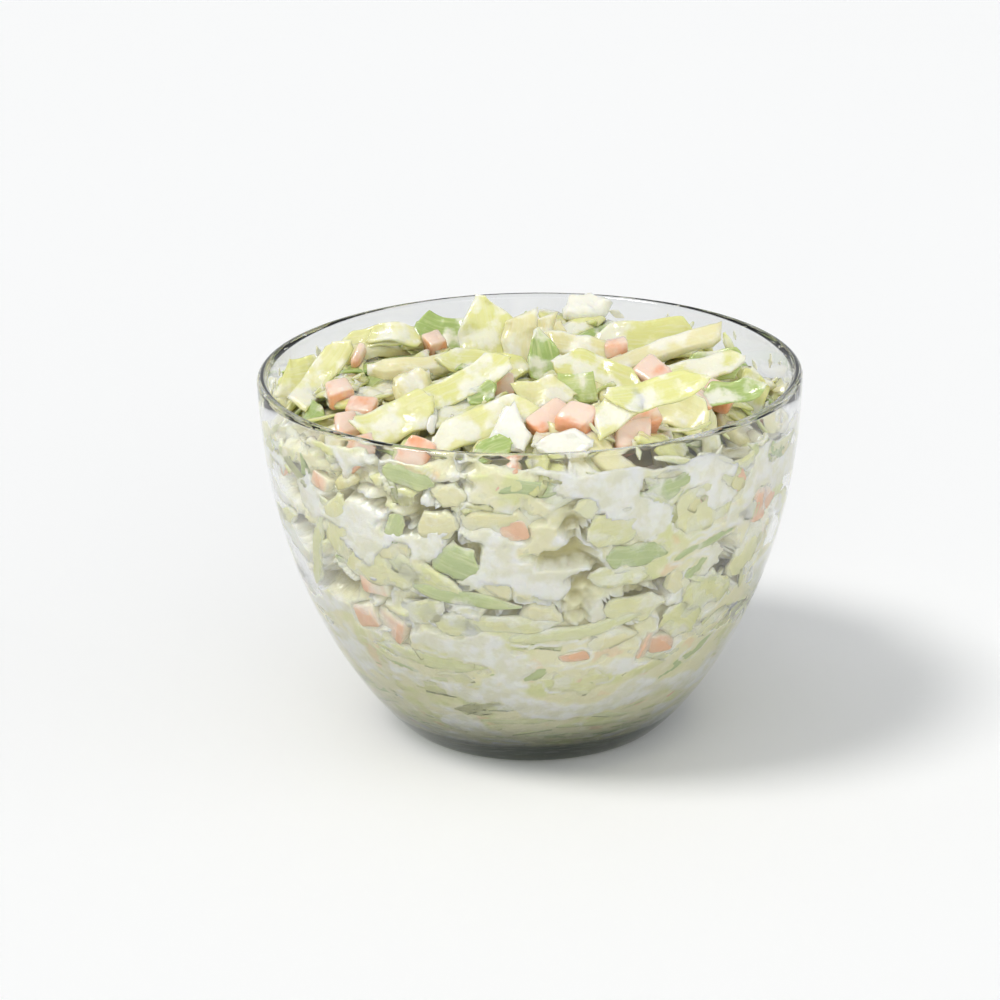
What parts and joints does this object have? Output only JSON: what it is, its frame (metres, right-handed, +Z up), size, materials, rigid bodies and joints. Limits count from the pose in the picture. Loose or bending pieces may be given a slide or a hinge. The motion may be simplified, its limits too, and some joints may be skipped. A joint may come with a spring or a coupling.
{
  "type": "bowl of coleslaw",
  "caption": "Deep round clear glass bowl heaped to just above its rim with creamy shredded cabbage and diced carrot.",
  "frame": {"origin": "middle of the bowl's foot, on the surface it stands on", "axes": "+Z up; -Y towards the viewer, the side over which the heap is seen; +X to the viewer's right"},
  "size_m": [0.12, 0.12, 0.096],
  "materials": {
    "glass": "clear pressed glass, smooth and glossy, grey-green where it is thick",
    "coleslaw": "cream cabbage mush under a wet mayonnaise dressing",
    "pale_cabbage": "cream to pale yellow cabbage shreds, wet and slightly see-through",
    "green_cabbage": "light to mid green outer cabbage shreds, wet",
    "carrot": "orange carrot dice under a thin film of dressing",
    "dressing": "glossy off-white mayonnaise dressing"
  },
  "bodies": {
    "root": {"bowl": "glass", "coleslaw": "coleslaw"}
  },
  "joints": []
}
